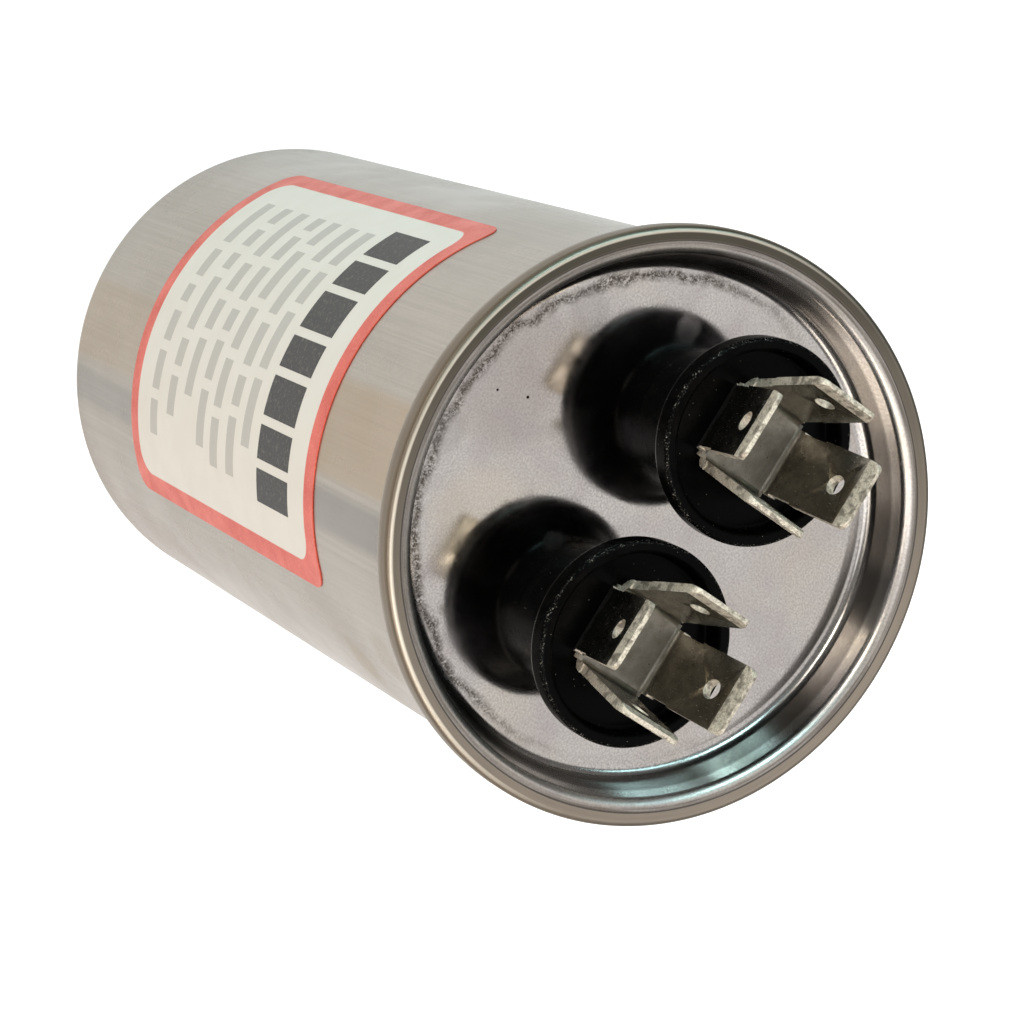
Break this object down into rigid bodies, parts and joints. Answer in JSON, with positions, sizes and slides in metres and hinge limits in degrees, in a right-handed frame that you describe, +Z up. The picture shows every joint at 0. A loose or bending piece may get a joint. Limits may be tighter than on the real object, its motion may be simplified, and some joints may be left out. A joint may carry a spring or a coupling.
{
  "type": "motor run capacitor",
  "caption": "Round motor run capacitor: drawn can with a seamed, dished lid, black bushings that carry splayed quick-connect tabs, printed label, and its winding and leads inside.",
  "frame": {"origin": "centre of the can's underside", "axes": "+Z up the can towards the terminals, +X through both terminals towards terminal a, +Y towards the label's side"},
  "size_m": [0.0534, 0.0534, 0.1076],
  "materials": {
    "can": "drawn, satin, with long faint draw lines",
    "lid": "bright tinplate, mirror-like",
    "compound": "seam sealing compound",
    "label": "printed film, semi-gloss, field of white in a salmon red frame",
    "bushing": "moulded black, glossy",
    "gasket": "black",
    "terminal": "tinned sheet, dull, scuffed edges",
    "rivet": "tinned brass",
    "lug": "tinned brass",
    "washer": "moulded insulator",
    "film": "wound metallised film",
    "core": "moulded tube",
    "spray": "sprayed metal, rough",
    "wrap": "wound plain film",
    "cup": "moulded insulator",
    "disc": "moulded insulator",
    "lead": "tinned copper",
    "sleeve": "insulating tube"
  },
  "bodies": {
    "root": {"can": "can", "lid": "lid", "seam_compound": "compound", "label": "label", "bushing_a": "bushing", "bushing_b": "bushing", "gasket_a": "gasket", "gasket_b": "gasket", "terminal_a": "terminal", "terminal_b": "terminal", "rivet_a": "rivet", "rivet_b": "rivet", "inner_washer_a": "washer", "inner_washer_b": "washer", "lug_a": "lug", "lug_b": "lug", "winding": "film", "winding_core": "core", "end_spray_bottom": "spray", "end_spray_top": "spray", "winding_wrap": "wrap", "base_cup": "cup", "breaker_disc": "disc", "lead_a": "lead", "lead_b": "lead", "sleeve_a": "sleeve", "sleeve_b": "sleeve"}
  },
  "joints": []
}
